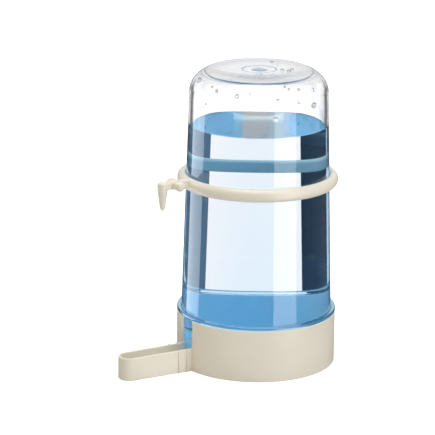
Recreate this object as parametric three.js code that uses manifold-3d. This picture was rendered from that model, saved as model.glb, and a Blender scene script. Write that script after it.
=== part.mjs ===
// Bird water fountain. A clear reservoir stands mouth down in an ivory cup with a drinking
// trough, and a ring with a hook, pushed over the reservoir, hangs it on the wires of a cage.
// Millimetres, +Z up. The origin is on the reservoir's axis at the cup's underside, and the
// trough and the hook both point along -Y.
import * as THREE from 'three';
import { mergeVertices } from 'three/addons/utils/BufferGeometryUtils.js';
import Module from 'manifold-3d';

const wasm = await Module();
wasm.setup();

// Cup
const cupRadius = 37;
const cupHeight = 24.2;
const cupWall = 1.6;
const cupDraft = 0.2; // the bore is this much narrower at the floor than at the rim
const cupFloor = 1.8;
const footRound = 0.7;
const rimRound = 0.4;

// Drinking trough, moulded in one with the cup and open to it through a slot in the wall
const troughLength = 34; // from the cup's wall to the tip
const troughWidth = 10.4;
const troughWall = 1;
const troughHeight = 11.2; // at the cup
const troughDrop = 0.6; // fall of the rim from the cup to the tip
const troughCorner = 4.6;
const wireRibWidth = 0.9; // upright ribs that keep a cage wire beside the cup
const wireRibProud = 0.45;
const wireRibInset = 2.2; // from the cup's wall to the first rib
const wireRibPitch = 4;

// Reservoir
const reservoirTop = 139.6; // crest of the dome above the cup's underside
const tubeDraft = 1.76; // degrees
const tubeWall = 1.7;
const flangeThickness = 1.4;
const flangeSeat = 0.2; // clearance between the flange and the cup's rim
const skirtClearance = 0.45; // between the skirt and the cup's bore
const skirtDraft = 0.2; // the skirt is this much narrower at the mouth
const skirtLift = 4.7; // water runs out under the skirt, through this height above the floor
const shoulderWidth = 16.2;
const shoulderHeight = 11.7;
const dishDepth = 1.2; // the dome's middle is dished
const gateRadius = 7.9; // round recess at the moulding gate
const gateDepth = 0.8;
const gatePipRadius = 2.2;
const gatePipHeight = 0.7;

// Hanging ring
const ringLevel = 87.3; // middle of the ring above the cup's underside
const ringClearance = 0.3; // between the ring and the tube's taper
const ringThickness = 3.75;
const ringDepth = 6;
const ringCorner = 1.2; // inner edges of the ring's section

// Hook: an arm out of the ring, a crossbar that stands against the wires and a peg behind them
const armWidth = 3.2;
const armHeight = 3.6;
const armCorner = 0.7;
const seatDrop = 0.6; // underside of the arm below the middle of the ring
const crossbarStandoff = 5.5; // from the ring's outside to the crossbar's axis
const crossbarRadius = 2.3;
const crossbarLength = 13;
const wireGap = 2; // between the crossbar and the peg
const pegRadius = 2.4;
const pegTipRadius = 1.5;
const pegLength = 9.7; // below the arm's underside
const pegTopRound = 0.9;

// Fineness of the round faces
const roundSides = 72;
const hookSides = 20;
const arcSteps = 8;

// Worked out from the sizes above
const boreRadius = cupRadius - cupWall;
const troughReach = cupRadius + troughLength;
const tubeFootRadius = boreRadius - skirtClearance;
const flangeBottom = cupHeight + flangeSeat;
const flangeTop = flangeBottom + flangeThickness;
const mouthLevel = cupFloor + skirtLift;
const shoulderLevel = reservoirTop - shoulderHeight;
const tubeRadiusAt = (level) => tubeFootRadius - (level - flangeTop) * Math.tan(THREE.MathUtils.degToRad(tubeDraft));
const shoulderRadius = tubeRadiusAt(shoulderLevel);
const ringOuterRadius = tubeRadiusAt(ringLevel) + ringClearance + ringThickness;
const crossbarReach = ringOuterRadius + crossbarStandoff;
const pegReach = crossbarReach + crossbarRadius + wireGap + pegRadius;
const armBottom = ringLevel - seatDrop;
const armTop = armBottom + armHeight;

// Points of a quarter of an ellipse about a centre, from one angle to another in degrees
function arc(centreX, centreY, radiusX, radiusY, from, to, steps = arcSteps) {
  const points = [];
  for (let step = 0; step <= steps; step += 1) {
    const angle = THREE.MathUtils.degToRad(from + ((to - from) * step) / steps);
    points.push(new THREE.Vector2(centreX + radiusX * Math.cos(angle), centreY + radiusY * Math.sin(angle)));
  }
  return points;
}

const point = (x, y) => new THREE.Vector2(x, y);

// A closed geometry as a solid: its shared corners are joined and its empty triangles dropped
function solid(geometry) {
  const bare = geometry.clone();
  bare.deleteAttribute('normal');
  bare.deleteAttribute('uv');
  const merged = mergeVertices(bare, 1e-4);
  const index = merged.index.array;
  const triangles = [];
  for (let start = 0; start < index.length; start += 3) {
    const [a, b, c] = index.slice(start, start + 3);
    if (a !== b && b !== c && c !== a) triangles.push(a, b, c);
  }
  const mesh = new wasm.Mesh({
    numProp: 3,
    vertProperties: new Float32Array(merged.attributes.position.array),
    triVerts: new Uint32Array(triangles),
  });
  return new wasm.Manifold(mesh);
}

// A profile of radius and height, turned about the Z axis
function revolved(profile, sides = roundSides) {
  const geometry = new THREE.LatheGeometry(profile, sides);
  geometry.rotateX(Math.PI / 2);
  return geometry;
}

// A plan outline raised between two levels
function raised(outline, from, to) {
  const settings = { depth: to - from, bevelEnabled: false, curveSegments: arcSteps };
  const geometry = new THREE.ExtrudeGeometry(outline, settings);
  geometry.translate(0, 0, from);
  return geometry;
}

function block(width, length, height, x, y, z) {
  const geometry = new THREE.BoxGeometry(width, length, height);
  geometry.translate(x, y, z);
  return geometry;
}

// A long plan outline from the axis to a rounded end at a reach along -Y
function tonguePlan(width, reach, corner) {
  const half = width / 2;
  const outline = new THREE.Shape();
  outline.moveTo(half, 0);
  outline.lineTo(-half, 0);
  outline.lineTo(-half, -(reach - corner));
  outline.absarc(-half + corner, -(reach - corner), corner, Math.PI, 1.5 * Math.PI);
  outline.lineTo(half - corner, -reach);
  outline.absarc(half - corner, -(reach - corner), corner, 1.5 * Math.PI, 2 * Math.PI);
  outline.closePath();
  return outline;
}

// What lies above the trough's sloping rim, from the cup's wall outwards
function aboveTroughRim() {
  const clear = cupHeight;
  const endReach = troughReach + troughWidth;
  const endHeight = troughHeight - (troughDrop * (endReach - cupRadius)) / troughLength;
  const side = new THREE.Shape();
  side.moveTo(cupRadius, troughHeight);
  side.lineTo(endReach, endHeight);
  side.lineTo(endReach, troughHeight + clear);
  side.lineTo(cupRadius, troughHeight + clear);
  side.closePath();
  const width = 2 * troughWidth;
  const geometry = new THREE.ExtrudeGeometry(side, { depth: width, bevelEnabled: false });
  geometry.translate(0, 0, -width / 2);
  const outward = new THREE.Vector3(0, -1, 0);
  const up = new THREE.Vector3(0, 0, 1);
  geometry.applyMatrix4(new THREE.Matrix4().makeBasis(outward, up, outward.clone().cross(up)));
  return geometry;
}

function cup() {
  const outside = revolved([
    point(0, 0),
    ...arc(cupRadius - footRound, footRound, footRound, footRound, -90, 0, 3),
    ...arc(cupRadius - rimRound, cupHeight - rimRound, rimRound, rimRound, 0, 90, 3),
    point(0, cupHeight),
  ]);
  const bore = revolved([
    point(0, cupFloor),
    point(boreRadius - cupDraft, cupFloor),
    point(boreRadius, cupHeight - rimRound),
    point(boreRadius + rimRound, cupHeight + rimRound),
    point(0, cupHeight + rimRound),
  ]);
  let body = solid(raised(tonguePlan(troughWidth, troughReach, troughCorner), 0, troughHeight));
  for (const side of [-1, 1]) {
    for (const reach of [wireRibInset, wireRibInset + wireRibPitch]) {
      const x = side * (troughWidth / 2);
      const y = -(cupRadius + reach);
      const rib = block(2 * wireRibProud, wireRibWidth, troughHeight, x, y, troughHeight / 2);
      body = body.add(solid(rib));
    }
  }
  body = body.subtract(solid(aboveTroughRim()));
  body = body.add(solid(outside)).subtract(solid(bore));

  const innerPlan = tonguePlan(troughWidth - 2 * troughWall, troughReach - troughWall, troughCorner - troughWall);
  body = body.subtract(solid(raised(innerPlan, cupFloor, cupHeight)));
  const slotHeight = 2 * (cupHeight - troughHeight);
  const slot = block(troughWidth, 2 * cupWall + footRound, slotHeight, 0, -boreRadius, troughHeight + slotHeight / 2);
  return body.subtract(solid(slot));
}

function reservoir() {
  const innerFoot = tubeFootRadius - tubeWall;
  const innerShoulder = shoulderRadius - tubeWall;
  const crestRadius = shoulderRadius - shoulderWidth;
  const dishLevel = reservoirTop - dishDepth;
  const gateLevel = dishLevel - gateDepth;
  return solid(revolved([
    // inside, from the roof down to the mouth
    point(0, gateLevel - tubeWall),
    point(gateRadius, gateLevel - tubeWall),
    ...arc(crestRadius, shoulderLevel, innerShoulder - crestRadius, shoulderHeight - tubeWall, 90, 0),
    point(innerFoot, flangeTop),
    point(innerFoot, mouthLevel),
    // outside, from the mouth up over the flange to the dome's middle
    point(tubeFootRadius - skirtDraft, mouthLevel),
    point(tubeFootRadius, flangeBottom),
    point(cupRadius, flangeBottom),
    point(cupRadius, flangeTop),
    point(tubeFootRadius, flangeTop),
    ...arc(crestRadius, shoulderLevel, shoulderWidth, shoulderHeight, 0, 90, arcSteps + 2),
    point(gateRadius, dishLevel),
    point(gateRadius - gateDepth, gateLevel),
    point(gatePipRadius, gateLevel),
    point(0, gateLevel + gatePipHeight),
  ]));
}

// The ring's section has a straight inner face along the tube's taper and a rounded outer face
function ringBody() {
  const top = ringLevel + ringDepth / 2;
  const bottom = ringLevel - ringDepth / 2;
  const crown = ringOuterRadius - ringThickness + ringCorner;
  const innerTop = tubeRadiusAt(top) + ringClearance;
  const innerBottom = tubeRadiusAt(bottom) + ringClearance;
  const section = [
    ...arc(crown, ringLevel, ringOuterRadius - crown, ringDepth / 2, -90, 90, arcSteps + 2),
    ...arc(innerTop + ringCorner, top - ringCorner, ringCorner, ringCorner, 90, 180, 3).slice(1),
    ...arc(innerBottom + ringCorner, bottom + ringCorner, ringCorner, ringCorner, 180, 270, 3),
  ];
  return solid(revolved([...section, section[0].clone()]));
}

function arm() {
  const half = armWidth / 2 - armCorner;
  const section = new THREE.Shape();
  section.absarc(half, armTop - armCorner, armCorner, 0, Math.PI / 2);
  section.absarc(-half, armTop - armCorner, armCorner, Math.PI / 2, Math.PI);
  section.absarc(-half, armBottom + armCorner, armCorner, Math.PI, 1.5 * Math.PI);
  section.absarc(half, armBottom + armCorner, armCorner, 1.5 * Math.PI, 2 * Math.PI);
  section.closePath();
  const root = ringOuterRadius - ringThickness / 2;
  const settings = { depth: pegReach - root, bevelEnabled: false, curveSegments: 3 };
  const geometry = new THREE.ExtrudeGeometry(section, settings);
  geometry.rotateX(Math.PI / 2);
  geometry.translate(0, -root, 0);
  return solid(geometry);
}

function crossbar() {
  const straight = crossbarLength - 2 * crossbarRadius;
  const geometry = new THREE.CapsuleGeometry(crossbarRadius, straight, arcSteps / 2, hookSides);
  geometry.rotateZ(Math.PI / 2);
  geometry.translate(0, -crossbarReach, armBottom + armHeight / 2);
  return solid(geometry);
}

function peg() {
  const tip = armBottom - pegLength;
  const tipHeight = 2 * pegTipRadius;
  const geometry = revolved([
    ...arc(0, tip + tipHeight, pegTipRadius, tipHeight, -90, 0, 5),
    point(pegRadius, armBottom),
    ...arc(pegRadius - pegTopRound, armTop - pegTopRound, pegTopRound, pegTopRound, 0, 90, 3),
    point(0, armTop),
  ], hookSides);
  geometry.translate(0, -pegReach, 0);
  return solid(geometry);
}

function hangingRing() {
  const tubeRoom = revolved([
    point(0, ringLevel - ringDepth),
    point(tubeRadiusAt(ringLevel - ringDepth) + ringClearance, ringLevel - ringDepth),
    point(tubeRadiusAt(ringLevel + ringDepth) + ringClearance, ringLevel + ringDepth),
    point(0, ringLevel + ringDepth),
  ]);
  return ringBody().add(arm()).add(crossbar()).add(peg()).subtract(solid(tubeRoom));
}

// A solid as a named mesh with its own material
function subPart(name, shape, look) {
  const { vertProperties, triVerts } = shape.getMesh();
  const geometry = new THREE.BufferGeometry();
  geometry.setAttribute('position', new THREE.BufferAttribute(vertProperties, 3));
  geometry.setIndex(new THREE.BufferAttribute(triVerts, 1));
  geometry.computeVertexNormals();
  const mesh = new THREE.Mesh(geometry, new THREE.MeshStandardMaterial(look));
  mesh.name = name;
  return mesh;
}

const ivory = { color: 0xe6decd, roughness: 0.38, metalness: 0 };
const clear = { color: 0xeaf2f8, roughness: 0.04, metalness: 0, transparent: true, opacity: 0.3 };

const fountain = new THREE.Group();
fountain.add(subPart('cup_with_trough', cup(), { ...ivory }));
fountain.add(subPart('reservoir', reservoir(), { ...clear }));
fountain.add(subPart('hanging_ring', hangingRing(), { ...ivory }));

export default fountain;
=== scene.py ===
import math
import random

import bmesh
import bpy
from mathutils import Matrix, Vector


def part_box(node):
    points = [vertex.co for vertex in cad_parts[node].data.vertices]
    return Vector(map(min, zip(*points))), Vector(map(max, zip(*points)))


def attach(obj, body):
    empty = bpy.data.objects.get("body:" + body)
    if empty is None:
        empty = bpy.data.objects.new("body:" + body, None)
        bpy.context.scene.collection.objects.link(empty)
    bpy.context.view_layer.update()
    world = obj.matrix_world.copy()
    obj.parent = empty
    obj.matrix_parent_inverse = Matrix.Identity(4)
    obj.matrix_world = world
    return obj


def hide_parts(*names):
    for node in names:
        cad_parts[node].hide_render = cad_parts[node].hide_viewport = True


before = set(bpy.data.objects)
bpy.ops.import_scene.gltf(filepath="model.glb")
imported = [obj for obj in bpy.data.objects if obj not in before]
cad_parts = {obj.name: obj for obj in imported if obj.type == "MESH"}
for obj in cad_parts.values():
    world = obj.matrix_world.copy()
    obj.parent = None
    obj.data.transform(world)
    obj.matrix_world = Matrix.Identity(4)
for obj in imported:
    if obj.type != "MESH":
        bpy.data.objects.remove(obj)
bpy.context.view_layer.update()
mm = 0.001
white, black = (1, 1, 1), (0, 0, 0)
scene = bpy.context.scene

cupLow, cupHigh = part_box("cup_with_trough")
tankLow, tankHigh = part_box("reservoir")

# where the lens stood: turn is counted from the trough's direction, seen from above
photoCamera = dict(turn=61.5, side=-18.4, distance=969.2, height=335.7, tilt=15.46, roll=-0.51,
                   focalPixels=2168, framePixels=435, sensorWidth=36.0, clip=(0.01, 50))
rayTurns = dict(clear=40, mirror=24)  # light turns often inside wall and water


def asSeen(right, back, up):
    # a spot in millimetres as the lens sees it: to its right, away from it, upwards
    turned = Matrix.Rotation(math.radians(photoCamera["turn"]), 3, "Z")
    return turned @ (Vector((right, back, up)) * mm)


def makeCamera():
    c = photoCamera
    tilt, roll = math.radians(c["tilt"]), math.radians(c["roll"])
    right = asSeen(1, 0, 0).normalized()
    ahead = asSeen(0, math.cos(tilt), -math.sin(tilt)).normalized()
    up = right.cross(ahead)
    sideAxis = right * math.cos(roll) - up * math.sin(roll)
    upAxis = right * math.sin(roll) + up * math.cos(roll)
    data = bpy.data.cameras.new("photoCamera")
    data.sensor_width = c["sensorWidth"]
    data.lens = c["focalPixels"] / c["framePixels"] * c["sensorWidth"]
    data.clip_start, data.clip_end = c["clip"]
    camera = bpy.data.objects.new("photoCamera", data)
    camera.matrix_world = Matrix((sideAxis, upAxis, -ahead)).transposed().to_4x4()
    camera.location = asSeen(c["side"], -c["distance"], c["height"])
    scene.collection.objects.link(camera)
    scene.camera = camera


makeCamera()
scene.view_settings.view_transform = "Standard"
scene.cycles.max_bounces = scene.cycles.transmission_bounces = rayTurns["clear"]
scene.cycles.glossy_bounces = rayTurns["mirror"]

# mesh makers: profiles and plans are in millimetres, meshes in metres
meshSizes = dict(sharp=38, onAxis=1e-6, roundShare=0.48, hold=0.3, longRun=8, edgeSteps=3)


def newPiece(name, verts, faces):
    mesh = bpy.data.meshes.new(name)
    mesh.from_pydata([Vector(v) * mm for v in verts], [], faces)
    mesh.update()
    piece = bpy.data.objects.new(name, mesh)
    scene.collection.objects.link(piece)
    return piece


def smooth(piece):
    piece.data.polygons.foreach_set("use_smooth", [True] * len(piece.data.polygons))
    piece.data.set_sharp_from_angle(angle=math.radians(meshSizes["sharp"]))
    return piece


def roundCorners(corners, steps):
    # each corner is (x, y) or (x, y, rounding); an inner corner with a rounding becomes an arc
    path, share = [], meshSizes["roundShare"]
    for i, corner in enumerate(corners):
        spot = Vector(corner[:2])
        rounding = corner[2] if len(corner) > 2 else 0
        if not rounding or i in (0, len(corners) - 1):
            path.append(tuple(spot))
            continue
        before, after = Vector(corners[i - 1][:2]) - spot, Vector(corners[i + 1][:2]) - spot
        half = before.angle(after) / 2
        tangent = min(rounding / math.tan(half), share * before.length, share * after.length)
        radius = tangent * math.tan(half)
        middle = (before.normalized() + after.normalized()).normalized()
        centre = spot + middle * (radius / math.sin(half))
        start = before.normalized() * tangent + spot - centre
        end = after.normalized() * tangent + spot - centre
        sweep = start.angle_signed(end)
        for step in range(steps + 1):
            path.append(tuple(centre + Matrix.Rotation(-sweep * step / steps, 2) @ start))
    return path


def ellipseArc(centreX, centreY, radiusX, radiusY, fromAngle, toAngle, steps):
    angles = [math.radians(fromAngle + (toAngle - fromAngle) * i / steps) for i in range(steps + 1)]
    return [(centreX + radiusX * math.cos(a), centreY + radiusY * math.sin(a)) for a in angles]


def quarterArc(centreX, centreY, radius, fromAngle, steps):
    return ellipseArc(centreX, centreY, radius, radius, fromAngle, fromAngle + 90, steps)


def holdRuns(profile, reach):
    # extra points close to the ends of long straight runs keep the shading flat along them
    path = [profile[0]]
    for start, end in zip(profile, profile[1:]):
        a, b = Vector(start), Vector(end)
        if (b - a).length > meshSizes["longRun"] * reach:
            step = (b - a).normalized() * reach
            path += [tuple(a + step), tuple(b - step)]
        path.append(end)
    return path


def turnedPiece(name, profile, sides, loop=False, hold=meshSizes["hold"]):
    # a profile of radius and height turned about the upright axis, outside going up
    verts, rings, faces = [], [], []
    profile = profile if loop else holdRuns(profile, hold)
    for radius, height in profile:
        if radius < meshSizes["onAxis"]:
            rings.append([len(verts)] * sides)
            verts.append((0, 0, height))
            continue
        rings.append(list(range(len(verts), len(verts) + sides)))
        for i in range(sides):
            angle = 2 * math.pi * i / sides
            verts.append((radius * math.cos(angle), radius * math.sin(angle), height))
    pairs = list(zip(rings, rings[1:])) + ([(rings[-1], rings[0])] if loop else [])
    for low, high in pairs:
        for i in range(sides):
            j = (i + 1) % sides
            corners = list(dict.fromkeys((low[i], low[j], high[j], high[i])))
            if len(corners) > 2:
                faces.append(corners)
    return newPiece(name, verts, faces)


def raisedPiece(name, plan, low, high):
    # a plan outline, anticlockwise, raised between two levels; a level may be a rule of x and y
    count = len(plan)
    verts = [(x, y, level(x, y) if callable(level) else level) for level in (low, high) for x, y in plan]
    faces = [list(range(count))[::-1], list(range(count, 2 * count))]
    faces += [(i, (i + 1) % count, (i + 1) % count + count, i + count) for i in range(count)]
    return newPiece(name, verts, faces)


def tonguePlan(halfWidth, inner, reach, corner, steps=12):
    # from a line across at inner out to a rounded end at reach, along -Y
    ends = quarterArc(-halfWidth + corner, -reach + corner, corner, 180, steps)
    ends += quarterArc(halfWidth - corner, -reach + corner, corner, 270, steps)
    return [(halfWidth, -inner), (-halfWidth, -inner)] + ends


def bake(piece):
    # a piece's modifiers made into its plain mesh
    view = bpy.context.evaluated_depsgraph_get()
    mesh = bpy.data.meshes.new_from_object(piece.evaluated_get(view), depsgraph=view)
    piece.modifiers.clear()
    old, piece.data = piece.data, mesh
    bpy.data.meshes.remove(old)
    mesh.name = piece.name
    return piece


def combine(piece, tool, operation):
    change = piece.modifiers.new(operation.lower(), "BOOLEAN")
    change.operation, change.solver, change.object = operation, "EXACT", tool
    bake(piece)
    bpy.data.objects.remove(tool)
    return piece


def softenEdges(piece, width):
    edges = piece.modifiers.new("edges", "BEVEL")
    edges.width, edges.segments, edges.harden_normals = width * mm, meshSizes["edgeSteps"], True
    return edges


# node makers, for finishes and for Geometry Nodes trees

def feed(tree, node, values):
    # each value, a plain one or another node's result, goes to the input of that name or place
    for label, value in values.items():
        if isinstance(value, bpy.types.NodeSocket):
            tree.links.new(value, node.inputs[label])
        else:
            node.inputs[label].default_value = value
    return node


def addNode(tree, kind, values, **settings):
    node = tree.nodes.new(kind)
    for label, setting in settings.items():
        setattr(node, label, setting)
    return feed(tree, node, values)


def calc(tree, operation, first, second):
    return addNode(tree, "ShaderNodeMath", {0: first, 1: second}, operation=operation).outputs[0]


def vector(tree, **parts):
    return addNode(tree, "ShaderNodeCombineXYZ", parts).outputs[0]


def newTree(name, sizes):
    # a Geometry Nodes tree with named inputs for its sizes
    tree = bpy.data.node_groups.new(name, "GeometryNodeTree")
    tree.interface.new_socket("Geometry", in_out="INPUT", socket_type="NodeSocketGeometry")
    for label, value in sizes.items():
        kind = "NodeSocketInt" if isinstance(value, int) else "NodeSocketFloat"
        tree.interface.new_socket(label, in_out="INPUT", socket_type=kind)
    tree.interface.new_socket("Geometry", in_out="OUTPUT", socket_type="NodeSocketGeometry")
    return tree, tree.nodes.new("NodeGroupInput").outputs, tree.nodes.new("NodeGroupOutput")


def endTree(tree, result, copies, finish):
    # the copies made real and dressed
    whole = addNode(tree, "GeometryNodeRealizeInstances", {"Geometry": copies})
    dressed = addNode(tree, "GeometryNodeSetMaterial", {"Geometry": whole.outputs[0], "Material": finish})
    feed(tree, result, {0: dressed.outputs[0]})


def grow(piece, tree, sizes):
    # the tree's result as the piece's plain mesh
    change = piece.modifiers.new(tree.name, "NODES")
    change.node_group = tree
    for socket in tree.interface.items_tree:
        if socket.in_out == "INPUT" and socket.name in sizes:
            change[socket.identifier] = sizes[socket.name]
    return bake(piece)


# finishes
noiseSpan = (0.3, 0.7)  # where most of a noise's values lie


def newFinish(name):
    finish = bpy.data.materials.new(name)
    finish.use_nodes = True
    return finish, finish.node_tree, finish.node_tree.nodes["Principled BSDF"]


def opaque(colour):
    return (*colour, 1)


def noise(tree, scale, detail=4.0, stretch=(1, 1, 1)):
    place = addNode(tree, "ShaderNodeTexCoord", {}).outputs["Object"]
    place = addNode(tree, "ShaderNodeMapping", {"Vector": place, "Scale": stretch}).outputs["Vector"]
    values = {"Vector": place, "Scale": scale, "Detail": detail}
    return addNode(tree, "ShaderNodeTexNoise", values).outputs["Fac"]


def spread(tree, source, low, high):
    # a noise stretched over a span of values
    least, most = noiseSpan
    values = {"Value": source, "From Min": least, "From Max": most, "To Min": low, "To Max": high}
    return addNode(tree, "ShaderNodeMapRange", values).outputs["Result"]


def between(tree, factor, plain, full, kind="RGBA"):
    # from plain, where the factor is 0, to full, where it is 1
    mix = addNode(tree, "ShaderNodeMix", {}, data_type=kind)
    return feed(tree, mix, {"Factor": factor, "A": plain, "B": full}).outputs["Result"]


def bump(tree, source, strength, distance):
    values = {"Height": source, "Strength": strength, "Distance": distance}
    return addNode(tree, "ShaderNodeBump", values).outputs["Normal"]


def marked(tree, label):
    # 1 on the faces that carry the mark
    return addNode(tree, "ShaderNodeAttribute", {}, attribute_name=label).outputs["Fac"]


def absorb(tree, colour, density):
    volume = addNode(tree, "ShaderNodeVolumeAbsorption", {"Color": opaque(colour), "Density": density})
    feed(tree, tree.nodes["Material Output"], {"Volume": volume.outputs["Volume"]})


def showEither(tree, factor, plain, other):
    # the surface is plain where the factor is 0 and the other where it is 1
    choice = addNode(tree, "ShaderNodeMixShader", {"Fac": factor, 1: plain.outputs[0], 2: other.outputs[0]})
    feed(tree, tree.nodes["Material Output"], {"Surface": choice.outputs[0]})


def letLightIn(tree, share=white, joined=False):
    # lamp light goes straight on to what stands behind, and at a join so does all light
    straight = addNode(tree, "ShaderNodeLightPath", {}).outputs["Is Shadow Ray"]
    if joined:
        straight = calc(tree, "MAXIMUM", straight, marked(tree, "join"))
    opening = addNode(tree, "ShaderNodeBsdfTransparent", {"Color": opaque(share)})
    showEither(tree, straight, tree.nodes["Principled BSDF"], opening)


def dryShine(tree):
    # no mirror where water lies against the wall
    return between(tree, marked(tree, "wet"), opaque(white), opaque(black))


ivoryFinish = dict(pale=(0.80, 0.735, 0.60), deep=(0.765, 0.695, 0.555), clouds=38.0, gloss=(0.32, 0.42),
                   grain=2600.0, grainDetail=2.0, grainStrength=0.12, grainHeight=0.00002, ior=1.5,
                   soak=0.12, soakReach=(0.0016, 0.0012, 0.0008), soakScale=1.0)


def makeIvory():
    s = ivoryFinish
    finish, tree, shader = newFinish("ivoryPlastic")
    clouds = spread(tree, noise(tree, s["clouds"]), 0, 1)
    grain = noise(tree, s["grain"], s["grainDetail"])
    feed(tree, shader, {
        "Base Color": between(tree, clouds, opaque(s["deep"]), opaque(s["pale"])),
        "Roughness": spread(tree, grain, *s["gloss"]),
        "Normal": bump(tree, grain, s["grainStrength"], s["grainHeight"]),
        "IOR": s["ior"],
        "Subsurface Weight": s["soak"],
        "Subsurface Radius": s["soakReach"],
        "Subsurface Scale": s["soakScale"]})
    return finish


# tones tell how marked faces tint what shows through them: the misted roof; the flange, whose pale blue is
# painted light in place of the blue light that the water throws into it; fine edges, whose dark blue-grey
# is painted shade
clearFinish = dict(ior=1.58, gloss=(0.0, 0.03), mist=(0.08, 0.14), smears=55.0, smearDetail=3.0,
                   smearStretch=(1, 1, 0.25), ripple=70.0, rippleDetail=1.0, rippleStretch=(1, 1, 0.15),
                   rippleStrength=0.05, rippleHeight=0.00004, tint=(0.55, 0.62, 0.70), density=2.0,
                   passed=(0.93, 0.95, 1.0),
                   tones=dict(mist=(0.85, 0.86, 0.87), rim=(0.52, 0.8, 0.96), edge=(0.3, 0.42, 0.55)))


def makeClear():
    s = clearFinish
    finish, tree, shader = newFinish("clearPlastic")
    colour = opaque(white)
    # the rim tone is painted blue light on the flange, the edge tone painted shade at fine edges
    for label, tone in s["tones"].items():
        colour = between(tree, marked(tree, label), colour, opaque(tone))
    smears = noise(tree, s["smears"], s["smearDetail"], s["smearStretch"])
    polished, misted = spread(tree, smears, *s["gloss"]), spread(tree, smears, *s["mist"])
    ripple = noise(tree, s["ripple"], s["rippleDetail"], s["rippleStretch"])
    feed(tree, shader, {
        "Base Color": colour,
        "Transmission Weight": 1.0,
        "IOR": s["ior"],
        "Specular Tint": dryShine(tree),
        "Roughness": between(tree, marked(tree, "mist"), polished, misted, "FLOAT"),
        "Normal": bump(tree, ripple, s["rippleStrength"], s["rippleHeight"])})
    absorb(tree, s["tint"], s["density"])
    letLightIn(tree, s["passed"])
    return finish


# rim is the colour of the painted shade at the drops' rims
waterFinish = dict(ior=1.333, tint=(0.01, 0.66, 0.978), density=13.9, rim=(0.03, 0.04, 0.06), paintedRimShadeBlend=0.7)


def makeWater(name, tinted):
    s = waterFinish
    finish, tree, shader = newFinish(name)
    feed(tree, shader, {
        "Base Color": opaque(white), "Transmission Weight": 1.0, "Roughness": 0.0, "IOR": s["ior"]})
    if tinted:
        feed(tree, shader, {"Specular Tint": dryShine(tree)})
        absorb(tree, s["tint"], s["density"])
    else:
        # painted shade: a drop's steep rim throws the light aside, and the dark it would show there is
        # painted in, the colour darkening towards the rim where the surface is seen at grazing
        paintedRimShade = addNode(tree, "ShaderNodeLayerWeight", {"Blend": s["paintedRimShadeBlend"]}).outputs["Facing"]
        feed(tree, shader, {"Base Color": between(tree, paintedRimShade, opaque(white), opaque(s["rim"]))})
    letLightIn(tree, joined=tinted)
    return finish


ivory, clear = makeIvory(), makeClear()
blueWater, dropWater = makeWater("blueWater", True), makeWater("dropWater", False)


def dress(piece, finish):
    piece.data.materials.clear()
    piece.data.materials.append(finish)
    return piece


def markFaces(piece, label, chosen):
    # a mark that the finish reads, on the faces whose middle in millimetres and normal the rule picks
    values = [float(chosen(face.center / mm, face.normal)) for face in piece.data.polygons]
    piece.data.attributes.new(label, "FLOAT", "FACE").data.foreach_set("value", values)
    return piece


print("camera and finishes made")

# the cup with its trough; past and overlap tell how far a cutter runs beyond what it opens
cupSizes = dict(radius=cupHigh.x / mm, height=cupHigh.z / mm, wall=1.6, draft=0.2, floor=1.8,
                reach=-cupLow.y / mm, troughWidth=10.4, troughWall=1.0, troughHeight=11.2, troughDrop=0.6,
                troughCorner=4.6, past=1, overlap=3, edge=0.28, edgeAngle=40, sides=240)


def troughRim(x, y):
    s = cupSizes
    along = (-y - s["radius"]) / (s["reach"] - s["radius"])
    return s["troughHeight"] - s["troughDrop"] * max(along, 0)


def makeCup():
    # the outside first, then the bore, the trough's hollow and the slot in the wall
    s = cupSizes
    radius, height, floor, wall = s["radius"], s["height"], s["floor"], s["troughWall"]
    bore, half, over = radius - s["wall"], s["troughWidth"] / 2, height + s["past"]
    root, front = bore - s["overlap"], radius + s["past"]
    cup = turnedPiece("cupWithTrough", [(0, 0), (radius, 0), (radius, height), (0, height)], s["sides"])
    tongue = tonguePlan(half, 0, s["reach"], s["troughCorner"])
    combine(cup, raisedPiece("tongue", tongue, 0, troughRim), "UNION")
    room = [(0, floor), (bore - s["draft"], floor), (bore, over), (0, over)]
    combine(cup, turnedPiece("hollow", room, s["sides"]), "DIFFERENCE")
    inner = tonguePlan(half - wall, root, s["reach"] - wall, s["troughCorner"] - wall)
    combine(cup, raisedPiece("inner", inner, floor, height), "DIFFERENCE")
    across = [(half, -root), (-half, -root), (-half, -front), (half, -front)]
    combine(cup, raisedPiece("slot", across, s["troughHeight"], over), "DIFFERENCE")
    edges = softenEdges(cup, s["edge"])
    edges.limit_method, edges.angle_limit = "ANGLE", math.radians(s["edgeAngle"])
    edges.use_clamp_overlap = False
    smooth(cup)
    return dress(bake(cup), ivory)


# pairs of upright ribs on the trough's sides, between which a cage wire stands
ribSizes = dict(count=2, inset=2.2, pitch=4.0, proud=0.45, width=0.9, height=11.1, edge=0.14)


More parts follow.
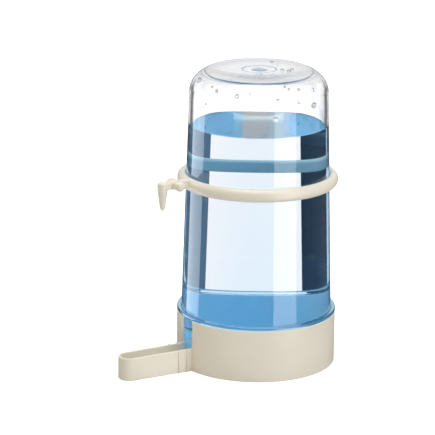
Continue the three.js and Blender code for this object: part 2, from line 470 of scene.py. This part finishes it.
def makeRibs():
    s, c = ribSizes, cupSizes
    sizes = {"Count": s["count"], "Half Width": c["troughWidth"] / 2 * mm,
             "Start": (c["radius"] + s["inset"]) * mm, "Pitch": s["pitch"] * mm,
             "Depth": 2 * s["proud"] * mm, "Width": s["width"] * mm, "Height": s["height"] * mm}
    tree, size, result = newTree("wireRibs", sizes)

    def ahead(label):
        return calc(tree, "MULTIPLY", size[label], -1.0)

    middle = calc(tree, "MULTIPLY", size["Height"], 0.5)
    rows = addNode(tree, "GeometryNodeJoinGeometry", {})
    for side in (size["Half Width"], ahead("Half Width")):
        start, step = vector(tree, X=side, Y=ahead("Start"), Z=middle), vector(tree, Y=ahead("Pitch"))
        line = {"Count": size["Count"], "Start Location": start, "Offset": step}
        feed(tree, rows, {0: addNode(tree, "GeometryNodeMeshLine", line).outputs[0]})
    block = vector(tree, X=size["Depth"], Y=size["Width"], Z=size["Height"])
    rib = addNode(tree, "GeometryNodeMeshCube", {"Size": block}).outputs[0]
    many = addNode(tree, "GeometryNodeInstanceOnPoints", {"Points": rows.outputs[0], "Instance": rib})
    endTree(tree, result, many.outputs[0], ivory)
    ribs = grow(newPiece("wireRibs", [], []), tree, sizes)
    softenEdges(ribs, s["edge"])
    return smooth(bake(ribs))


cup = makeCup()
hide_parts("cup_with_trough")
ribs = makeRibs()
for piece in (cup, ribs):
    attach(piece, "cup")
print("cup made", len(cup.data.polygons), "faces, ribs", len(ribs.data.polygons))

# water: its levels, and in skin the distances from the wall at which its surface has points
waterSizes = dict(level=112.3, sink=0.06, meniscus=0.4, reach=1.2, cupLevel=7.2, dip=0.4, troughJoin=0.5,
                  skin=(0.0, 0.15, 0.35, 0.6, 0.9, 1.3, 1.8, 2.4, 3.2, 4.2, 5.5, 7.0, 9.0, 14.0, 22.0),
                  upright=0.3, flat=0.9, wallSteps=12, sides=256)
# the reservoir: an inner and an outer wall turned in one
tankSizes = dict(top=tankHigh.z / mm, mouth=tankLow.z / mm, wall=1.7, draft=1.76, flange=1.4, seat=0.2,
                 skirtClearance=0.45, skirtDraft=0.2, shoulderWidth=16.2, shoulderHeight=11.7,
                 shoulderAngle=3, roofAngle=60, rimAngle=74, rimEase=1.2, dish=1.55, roofStep=1.25,
                 stepAngle=53, stepRound=0.2, lipStep=0.2, lipAngle=46, lipRound=0.2 / 3, gateRadius=7.8,
                 groove=0.7, grooveDepth=0.18, pipRadius=4.0, pipHeight=1.1, pipFlank=0.7, clearSpot=5.5,
                 kneeRound=40, mouthRound=0.35, seatRound=0.15, flangeRounds=(0.25, 0.35), hold=0.06,
                 faceDown=-0.7, faceUp=0.5, rimMargins=(0.05, 0.1), sides=240,
                 steps=dict(shoulder=30, bowl=36, gate=7, pip=16, roof=50, ledge=4, wall=12, corner=8))


def flangeLevels():
    low = cupSizes["height"] + tankSizes["seat"]
    return low, low + tankSizes["flange"]


def tubeRadius(level):
    s = tankSizes
    foot = cupSizes["radius"] - cupSizes["wall"] - s["skirtClearance"]
    return foot - (level - flangeLevels()[1]) * math.tan(math.radians(s["draft"]))


def domeFoot():
    # where the tube ends and the shoulder begins, and the radius at which the shoulder would come level
    shoulder = tankSizes["top"] - tankSizes["shoulderHeight"]
    return shoulder, tubeRadius(shoulder) - tankSizes["shoulderWidth"]


def domeCurve(depth, first, last, steps):
    # the shoulder's curve between two angles, a depth in from the outside
    shoulder, crest = domeFoot()
    wide, high = tankSizes["shoulderWidth"] - depth, tankSizes["shoulderHeight"] - depth
    return ellipseArc(crest, shoulder, wide, high, first, last, steps)


def domeSpot(depth, angle):
    return domeCurve(depth, angle, angle, 1)[0]


def roofLevel(radius, depth=0):
    # the lower of the shoulder's curve and the shallow bowl in the top, eased into each other
    s = tankSizes
    shoulder, crest = domeFoot()
    rim, rimLevel = domeSpot(0, s["rimAngle"])
    along = max(radius - crest, 0) / (s["shoulderWidth"] - depth)
    curve = shoulder + (s["shoulderHeight"] - depth) * math.sqrt(1 - along ** 2)
    bowl = rimLevel - s["dish"] * (1 - (radius / rim) ** 2) - depth
    near = max(s["rimEase"] - abs(curve - bowl), 0)
    return min(curve, bowl) - near ** 2 / (4 * s["rimEase"])


def roofRun(first, last, steps, depth=0):
    radii = [first + (last - first) * i / steps for i in range(steps + 1)]
    return [(radius, roofLevel(radius, depth)) for radius in radii]


def gateLips():
    # the radii between which the gate's groove lies
    return [tankSizes["gateRadius"] + side * tankSizes["groove"] / 2 for side in (-1, 1)]


def innerLedges():
    # the two corners of the roof's step and of the fine lip below it
    s = tankSizes
    lip = s["wall"] + s["lipStep"]
    step = [domeSpot(depth, s["stepAngle"]) for depth in (s["wall"] + s["roofStep"], lip)]
    return step, [domeSpot(depth, s["lipAngle"]) for depth in (lip, s["wall"])]


def easedCurve(start, end, steps):
    # from one radius and height to another, level at both ends
    path = []
    for i in range(steps + 1):
        share = i / steps
        rise = (end[1] - start[1]) * (1 - math.cos(math.pi * share)) / 2
        path.append((start[0] + (end[0] - start[0]) * share, start[1] + rise))
    return path


def tankInside():
    # an even wall, thicker in the roof, which begins with a step and a fine lip below it
    s, steps = tankSizes, tankSizes["steps"]
    thick, lip = s["wall"] + s["roofStep"], s["wall"] + s["lipStep"]
    step, ridge = innerLedges()
    path = roofRun(0, domeSpot(thick, s["roofAngle"])[0], steps["roof"], thick)
    path += domeCurve(thick, s["roofAngle"], s["stepAngle"], steps["ledge"])[1:-1]
    path += [(*spot, s["stepRound"]) for spot in step]
    path += domeCurve(lip, s["stepAngle"], s["lipAngle"], steps["ledge"])[1:-1]
    path += [(*spot, s["lipRound"]) for spot in ridge]
    return path + domeCurve(s["wall"], s["lipAngle"], 0, steps["wall"])[1:]


def tankOutside():
    # the shoulder, the bowl in the top, and the moulding gate, a fine groove round a low pip
    s, steps = tankSizes, tankSizes["steps"]
    innerLip, outerLip = gateLips()
    path = domeCurve(0, s["shoulderAngle"], s["roofAngle"], steps["shoulder"])
    path += roofRun(path[-1][0], outerLip, steps["bowl"])[1:]
    path += [(s["gateRadius"], roofLevel(s["gateRadius"]) - s["grooveDepth"])]
    path += roofRun(innerLip, s["pipRadius"], steps["gate"])[:-1]
    pipFoot = roofLevel(s["pipRadius"])
    return path + easedCurve((s["pipRadius"], pipFoot), (0, pipFoot + s["pipHeight"]), steps["pip"])


def markTank(shell):
    s = tankSizes
    shoulder, (flangeLow, flangeTop) = domeFoot()[0], flangeLevels()
    foot, (sideways, upwards) = tubeRadius(flangeTop), s["rimMargins"]
    rings = [gateLips(), (s["pipRadius"] * s["pipFlank"], s["pipRadius"])]
    ledges = [(Vector(high), Vector(low)) for high, low in innerLedges()]
    ledges = [((high + low) / 2, (high - low).length / 2) for high, low in ledges]

    def wet(spot, normal):
        return spot.z < waterSizes["level"] and normal.xy.dot(spot.xy) < 0

    def misted(spot, normal):
        return spot.z > shoulder and normal.z < s["faceDown"] and spot.xy.length > s["clearSpot"]

    # painted light: the flange's faces take the pale blue rim tone, in place of the blue light from the
    # water
    def paintedFlangeBlue(spot, normal):
        return flangeLow - upwards < spot.z < flangeTop + upwards and spot.xy.length > foot + sideways

    # painted shade: the gate's groove, the pip's flank and the roof's step and lip take the dark edge tone,
    # in place of the dark that refraction would show there
    def paintedEdgeShade(spot, normal):
        radius = spot.xy.length
        onTop = normal.z > s["faceUp"] and any(inner < radius < outer for inner, outer in rings)
        return onTop or any((Vector((radius, spot.z)) - middle).length < half for middle, half in ledges)

    for label, rule in (("wet", wet), ("mist", misted), ("rim", paintedFlangeBlue), ("edge", paintedEdgeShade)):
        markFaces(shell, label, rule)
    return shell


def makeTank():
    s, rim = tankSizes, cupSizes["radius"]
    flangeLow, flangeTop = flangeLevels()
    foot, shoulder = tubeRadius(flangeTop), domeFoot()[0]
    waterline = waterSizes["level"] + waterSizes["meniscus"]
    lowRound, topRound = s["flangeRounds"]
    lower = tankInside() + [
        (tubeRadius(waterline) - s["wall"], waterline),
        (foot - s["wall"], flangeTop, s["kneeRound"]),
        (foot - s["wall"], s["mouth"], s["mouthRound"]),
        (foot - s["skirtDraft"], s["mouth"], s["mouthRound"]),
        (foot, flangeLow, s["seatRound"]),
        (rim, flangeLow, lowRound),
        (rim, flangeTop, topRound),
        (foot, flangeTop, s["seatRound"]),
        (tubeRadius(shoulder), shoulder)]
    profile = roundCorners(lower, s["steps"]["corner"]) + tankOutside()
    shell = turnedPiece("reservoirShell", profile, s["sides"], hold=s["hold"])
    return markTank(dress(smooth(shell), clear))


tank = makeTank()
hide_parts("reservoir")
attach(tank, "reservoir")
print("reservoir made", len(tank.data.polygons), "faces")


def makeColumn():
    # the water in the reservoir, with its meniscus
    s, flangeTop = waterSizes, flangeLevels()[1]

    def inner(level):
        return tubeRadius(max(level, flangeTop)) - tankSizes["wall"] + s["sink"]

    edge, foot = inner(s["level"] + s["meniscus"]), s["cupLevel"] - s["dip"]
    levels = [flangeTop + (s["level"] - flangeTop) * i / s["wallSteps"] for i in range(s["wallSteps"])]
    wall = [(inner(level), level) for level in [foot] + levels]
    skin = [(edge - d, s["level"] + s["meniscus"] * math.exp(-d / s["reach"])) for d in s["skin"]]
    column = turnedPiece("waterColumn", [(0, foot)] + wall + skin + [(0, s["level"])], s["sides"])
    dress(smooth(column), blueWater)
    markFaces(column, "wet", lambda spot, normal: abs(normal.z) < s["upright"])
    return markFaces(column, "join", lambda spot, normal: normal.z < -s["flat"])


def makePuddle():
    # the sheet of water in the cup and the trough
    s, c = waterSizes, cupSizes
    low, high = c["floor"] - s["sink"], s["cupLevel"]
    radius = c["radius"] - c["wall"] - c["draft"] + s["sink"]
    mouth = tubeRadius(flangeLevels()[1]) - tankSizes["wall"]
    profile = [(0, low), (radius, low), (radius, high), (mouth, high), (0, high)]
    puddle = turnedPiece("waterInCup", profile, s["sides"])
    half = c["troughWidth"] / 2 - c["troughWall"] + s["sink"]
    reach, corner = c["reach"] - c["troughWall"] + s["sink"], c["troughCorner"] - c["troughWall"]
    tongue = raisedPiece("tongue", tonguePlan(half, mouth + s["troughJoin"], reach, corner), low, high)
    dress(smooth(combine(puddle, tongue, "UNION")), blueWater)
    return markFaces(puddle, "join", lambda spot, normal: normal.z > s["flat"] and spot.xy.length < mouth)


# droplets inside the dome: turn from the lens in degrees, level on the wall or radius on the roof, size
dropSizes = dict(
    wall=[(-75, 133.5, 1.4), (-72, 128.5, 0.7), (-48, 133, 0.65), (-41, 132, 0.8), (-20, 131, 1.05),
          (-9, 132, 0.55), (15, 129.5, 0.9), (24, 134.5, 0.55), (27, 133.5, 0.55), (37, 133, 0.7),
          (52, 125.5, 1.5), (13, 121.5, 1.3)],
    roof=[(156, 14.8, 0.9), (75, 10.8, 1.0), (62, 15, 1.1), (77, 15.2, 0.9)],
    extra=16, extraTurn=(85, 275), extraLevel=(116, 135), extraSize=(0.35, 0.9), seed=11,
    gap=0.02, flatness=0.75, steps=14)


def innerWall(level):
    # radius of the dome's inner wall and its slope towards the air, in the plane of the axis
    s = tankSizes
    shoulder, crest = domeFoot()
    wide, high = s["shoulderWidth"] - s["wall"], s["shoulderHeight"] - s["wall"]
    if level < shoulder:
        return tubeRadius(level) - s["wall"], Vector((-1, 0))
    angle = math.asin((level - shoulder) / high)
    slope = Vector((math.cos(angle) / wide, math.sin(angle) / high)).normalized()
    return crest + wide * math.cos(angle), -slope


def named(tree, label, kind):
    # what each point carries under that name
    return addNode(tree, "GeometryNodeInputNamedAttribute", {"Name": label}, data_type=kind).outputs[0]


def dropTree(sizes):
    tree, size, result = newTree("droplets", sizes)
    ball = addNode(tree, "GeometryNodeMeshUVSphere", {
        "Segments": size["Steps"], "Rings": size["Steps"], "Radius": 1.0}).outputs[0]
    # the lower half is pressed flat against the wall
    place = addNode(tree, "GeometryNodeInputPosition", {}).outputs[0]
    spot = addNode(tree, "ShaderNodeSeparateXYZ", {0: place}).outputs
    level = calc(tree, "MULTIPLY", calc(tree, "MAXIMUM", spot["Z"], 0.0), size["Flatness"])
    pressed = vector(tree, X=spot["X"], Y=spot["Y"], Z=level)
    drop = addNode(tree, "GeometryNodeSetPosition", {"Geometry": ball, "Position": pressed}).outputs[0]
    lean, scale = named(tree, "lean", "FLOAT_VECTOR"), named(tree, "size", "FLOAT")
    turned = addNode(tree, "FunctionNodeAlignRotationToVector", {"Vector": lean}, axis="Z").outputs[0]
    many = addNode(tree, "GeometryNodeInstanceOnPoints", {
        "Points": size["Geometry"], "Instance": drop, "Rotation": turned, "Scale": scale})
    endTree(tree, result, many.outputs[0], dropWater)
    return tree


def makeDroplets():
    s = dropSizes
    chance, spans = random.Random(s["seed"]), (s["extraTurn"], s["extraLevel"], s["extraSize"])
    drops = s["wall"] + [tuple(chance.uniform(*span) for span in spans) for _ in range(s["extra"])]
    places = [(turn, *innerWall(level), level, size) for turn, level, size in drops]
    places += [(turn, radius, Vector((0, 1)), roofLevel(radius), size) for turn, radius, size in s["roof"]]
    spots, leans = [], []
    for turn, radius, slope, level, size in places:
        away = Vector((math.sin(math.radians(turn)), -math.cos(math.radians(turn))))
        reach = radius + slope.x * s["gap"]
        spots.append(asSeen(*(away * reach), level + slope.y * s["gap"]) / mm)
        leans.append(asSeen(*(away * slope.x), slope.y).normalized())
    droplets = newPiece("droplets", spots, [])
    size = droplets.data.attributes.new("size", "FLOAT", "POINT")
    size.data.foreach_set("value", [place[-1] * mm for place in places])
    lean = droplets.data.attributes.new("lean", "FLOAT_VECTOR", "POINT")
    lean.data.foreach_set("vector", [part for way in leans for part in way])
    sizes = {"Flatness": s["flatness"], "Steps": s["steps"]}
    return smooth(grow(droplets, dropTree(sizes), sizes))


droplets = makeDroplets()
for water, body in ((makeColumn(), "reservoir"), (makePuddle(), "cup"), (droplets, "reservoir")):
    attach(water, body)
print("water made, droplets", len(droplets.data.polygons), "faces")

# the hanging ring with its hook, melted together so that the joints are filleted
ringSizes = dict(level=87.3, clearance=0.3, thickness=3.75, depth=6.0, corner=1.2, armWidth=3.2,
                 armHeight=3.6, seatDrop=0.6, standoff=5.5, barRadius=2.3, barLength=13.0, wireGap=2.0,
                 pegRadius=2.4, pegTip=1.5, tipLength=3.0, pegLength=9.7, pegRound=0.9, voxel=0.24,
                 relax=0.5, relaxTimes=5, sides=240, rodSides=40,
                 steps=dict(crown=20, corner=6, bar=10, tip=12))


def joinMeshes(first, others):
    build = bmesh.new()
    for piece in [first] + others:
        build.from_mesh(piece.data)
    build.to_mesh(first.data)
    build.free()
    for piece in others:
        bpy.data.objects.remove(piece)
    return first


def turnedRod(name, profile, spot, turn=0):
    # a rod moved to its spot in millimetres, and laid down about Y by turn
    rod = turnedPiece(name, [(max(radius, 0), level) for radius, level in profile], ringSizes["rodSides"])
    rod.data.transform(Matrix.Translation(Vector(spot) * mm) @ Matrix.Rotation(turn, 4, "Y"))
    return rod


def ringSection(outer):
    s, corner = ringSizes, ringSizes["corner"]
    high, low = s["level"] + s["depth"] / 2, s["level"] - s["depth"] / 2
    crown = outer - s["thickness"] + corner
    outside = ellipseArc(crown, s["level"], outer - crown, s["depth"] / 2, -90, 90, s["steps"]["crown"])
    inside = []
    for level, centre, angle in ((high, high - corner, 90), (low, low + corner, 180)):
        inner = tubeRadius(level) + s["clearance"] + corner
        inside += quarterArc(inner, centre, corner, angle, s["steps"]["corner"])
    return outside + inside[1:-1]


def makeRing():
    s, steps = ringSizes, ringSizes["steps"]
    outer = tubeRadius(s["level"]) + s["clearance"] + s["thickness"]
    ring = turnedPiece("hangingRing", ringSection(outer), s["sides"], loop=True)
    bottom, barReach = s["level"] - s["seatDrop"], outer + s["standoff"]
    top, pegReach = bottom + s["armHeight"], barReach + s["barRadius"] + s["wireGap"] + s["pegRadius"]
    root, half = outer - s["thickness"] / 2, s["armWidth"] / 2
    plan = [(half, -root), (-half, -root), (-half, -pegReach), (half, -pegReach)]
    arm = raisedPiece("arm", plan, bottom, top)
    straight = s["barLength"] / 2 - s["barRadius"]
    ends = quarterArc(0, -straight, s["barRadius"], -90, steps["bar"])
    ends += quarterArc(0, straight, s["barRadius"], 0, steps["bar"])
    bar = turnedRod("bar", ends, (0, -barReach, (top + bottom) / 2), math.pi / 2)
    tip, radius, edge = bottom - s["pegLength"] + s["tipLength"], s["pegRadius"], s["pegRound"]
    rod = ellipseArc(0, tip, s["pegTip"], s["tipLength"], -90, 0, steps["tip"]) + [(radius, bottom)]
    rod += quarterArc(radius - edge, top - edge, edge, 0, steps["corner"])
    peg = turnedRod("peg", rod + [(0, top)], (0, -pegReach, 0))
    joinMeshes(ring, [arm, bar, peg])
    melt = ring.modifiers.new("melt", "REMESH")
    melt.mode, melt.voxel_size, melt.use_smooth_shade = "VOXEL", s["voxel"] * mm, True
    relax = ring.modifiers.new("relax", "SMOOTH")
    relax.factor, relax.iterations = s["relax"], s["relaxTimes"]
    return dress(smooth(bake(ring)), ivory)


ring = makeRing()
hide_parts("hanging_ring")
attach(ring, "ring")
print("ring made", len(ring.data.polygons), "faces")

# stage: pale floor, white surround, soft lamps, and cards that show only in the clear pieces or in gloss
stageSizes = dict(floor=2.0, floorTone=(0.86, 0.86, 0.86), floorRoughness=0.9, glow=0.52, ambient=0.36,
                  sheen=0.04, seen=1.0, mirrored=0.78)


def seenDirectly(tree):
    # 1 where the lens sees it, straight or through a clear piece
    path = addNode(tree, "ShaderNodeLightPath", {}).outputs
    return calc(tree, "MAXIMUM", path["Is Camera Ray"], path["Is Transmission Ray"])


def stepped(tree, source, low, high):
    values = {"Value": source, "To Min": low, "To Max": high}
    return addNode(tree, "ShaderNodeMapRange", values).outputs["Result"]


def makeWorld():
    s = stageSizes
    scene.world = bpy.data.worlds.new("studio")
    scene.world.use_nodes = True
    tree = scene.world.node_tree
    path = addNode(tree, "ShaderNodeLightPath", {}).outputs
    lighting = stepped(tree, path["Is Diffuse Ray"], s["sheen"], s["ambient"])
    surround = stepped(tree, path["Glossy Depth"], s["seen"], s["mirrored"])
    strength = stepped(tree, seenDirectly(tree), lighting, surround)
    feed(tree, tree.nodes["Background"], {"Color": opaque(white), "Strength": strength})


def makeFloor():
    s = stageSizes
    half = s["floor"] / 2 / mm
    corners = [(-half, -half, 0), (half, -half, 0), (half, half, 0), (-half, half, 0)]
    floor = newPiece("floor", corners, [(0, 1, 2, 3)])
    finish, tree, shader = newFinish("paleFloor")
    feed(tree, shader, {
        "Base Color": opaque(s["floorTone"]),
        "Roughness": s["floorRoughness"],
        "Specular IOR Level": 0.0,
        "Emission Color": opaque(white),
        "Emission Strength": calc(tree, "MULTIPLY", seenDirectly(tree), s["glow"])})
    floor.visible_glossy = False
    dress(floor, finish)


def emitter(name, strength, colour, after):
    # if after is given, it shows only to rays that have crossed and were mirrored by so many surfaces
    finish, tree, shader = newFinish(name)
    tree.nodes.remove(shader)
    light = addNode(tree, "ShaderNodeEmission", {"Color": opaque(colour), "Strength": strength})
    feed(tree, tree.nodes["Material Output"], {"Surface": light.outputs["Emission"]})
    if after:
        path = addNode(tree, "ShaderNodeLightPath", {}).outputs
        enough = [calc(tree, "GREATER_THAN", path[kind], least - 0.5)
                  for kind, least in zip(("Transmission Depth", "Glossy Depth"), after)]
        opening = addNode(tree, "ShaderNodeBsdfTransparent", {})
        showEither(tree, calc(tree, "MULTIPLY", *enough), opening, light)
    return finish


def makeCard(name, start, end, low, high, strength, rays, colour=white, after=None, lean=0):
    # a card between two plan spots as the lens sees them, its top leaning back; one kind of ray sees it
    plan = [start, end, (end[0], end[1] + lean), (start[0], start[1] + lean)]
    corners = [asSeen(*spot, level) / mm for spot, level in zip(plan, (low, low, high, high))]
    card = newPiece(name, corners, [(0, 1, 2, 3)])
    dress(card, emitter(name, strength, colour, after))
    card.visible_camera = card.visible_diffuse = card.visible_shadow = card.visible_volume_scatter = False
    card.visible_glossy, card.visible_transmission = rays == "glossy", rays == "transmission"


throughClear, inGloss = dict(rays="transmission"), dict(rays="glossy")
throughWater = dict(after=(6, 0), **throughClear)
inWaterSurface = dict(low=140, high=420, after=(4, 1), **throughClear)
insideWall = dict(after=(9, 1), **throughClear)
blueSky = (0.2, 0.66, 1.0)
cards = dict(
    backGlow=dict(start=(-5.55, 80), end=(11.43, 80), low=8, high=89, strength=2.15,
                  colour=(1, 0.62, 0.51), **throughWater),
    backDarkLeft=dict(start=(-52, 80), end=(-5.55, 80), low=0, high=89, strength=0.04,
                      colour=(0.6, 1.0, 1.6), **throughWater),
    backDarkRight=dict(start=(11.43, 80), end=(85, 80), low=0, high=89, strength=0.2,
                       colour=(0.8, 1.0, 1.25), **throughWater),
    floorShade=dict(start=(-45, 40), end=(45, 40), low=1, high=1, lean=38, strength=0.25, **throughWater),
    skyLeft=dict(start=(-300, 300), end=(-7, 300), strength=1.75, colour=blueSky, **inWaterSurface),
    skyMiddle=dict(start=(-7, 300), end=(15, 300), strength=1.1, **inWaterSurface),
    skyPale=dict(start=(15, 300), end=(31, 300), strength=1.5, colour=(0.6, 0.85, 1.0), **inWaterSurface),
    skyRight=dict(start=(31, 300), end=(300, 300), strength=1.75, colour=blueSky, **inWaterSurface),
    backSky=dict(start=(-500, 420), end=(500, 420), low=135, high=700, strength=0.75, **inGloss),
    frontShade=dict(start=(-400, -600), end=(400, -600), low=1, high=1, lean=638, strength=0.03,
                    **insideWall),
    sideDarkLeft=dict(start=(-150, 60), end=(-62, 82), low=60, high=145, strength=0.2, **throughClear),
    sideDarkRight=dict(start=(62, 82), end=(150, 60), low=60, high=145, strength=0.2, **throughClear),
    softboxTop=dict(start=(-160, -260), end=(160, -260), low=520, high=520, lean=300, strength=4.0,
                    **inGloss),
    softboxRight=dict(start=(41, -105), end=(88, -65), low=0, high=150, strength=3.0, **inGloss),
    softboxLeft=dict(start=(-87, 45), end=(-104, -8), low=0, high=150, strength=3.0,
                     colour=(0.88, 0.97, 1.08), **inGloss),
)


def makeLamp(name, spot, aim, size, power, cone=0, fade=0.5, colour=white, lights=None):
    # a soft disk, or a spot with a cone, which may light one piece alone
    data = bpy.data.lights.new(name, "SPOT" if cone else "AREA")
    data.energy, data.color = power, colour
    if cone:
        data.spot_size, data.spot_blend, data.shadow_soft_size = math.radians(cone), fade, size
    else:
        data.shape, data.size = "DISK", size
    lamp = bpy.data.objects.new(name, data)
    lamp.location = asSeen(*spot)
    lamp.rotation_mode = "QUATERNION"
    lamp.rotation_quaternion = (asSeen(*aim) - lamp.location).to_track_quat("-Z", "Y")
    lamp.visible_glossy = lamp.visible_transmission = False
    scene.collection.objects.link(lamp)
    if lights:
        lamp.light_linking.receiver_collection = bpy.data.collections.new(name)
        lamp.light_linking.receiver_collection.objects.link(lights)


middle = (0, 0, 60)
lamps = dict(
    key=dict(spot=(700, -600, 700), aim=middle, size=0.6, power=5.6, colour=(0.97, 1, 1.09)),
    fill=dict(spot=(-800, -500, 500), aim=middle, size=0.8, power=0.65, colour=(1, 0.84, 0.6)),
    top=dict(spot=(-150, 100, 1100), aim=middle, size=0.9, power=7.0),
    inner=dict(spot=(120, -620, 400), aim=(0, 0, 40), size=0.004, power=16.0, cone=4.8,
               colour=(0.95, 0.98, 1.1), lights=cup),
    trough=dict(spot=(300, -600, 500), aim=(-37, -20, 10), size=0.01, power=2.8, cone=4.0, lights=cup),
)

makeWorld()
makeFloor()
for name, card in cards.items():
    makeCard(name, **card)
for name, lamp in lamps.items():
    makeLamp(name, **lamp)
print("stage made")
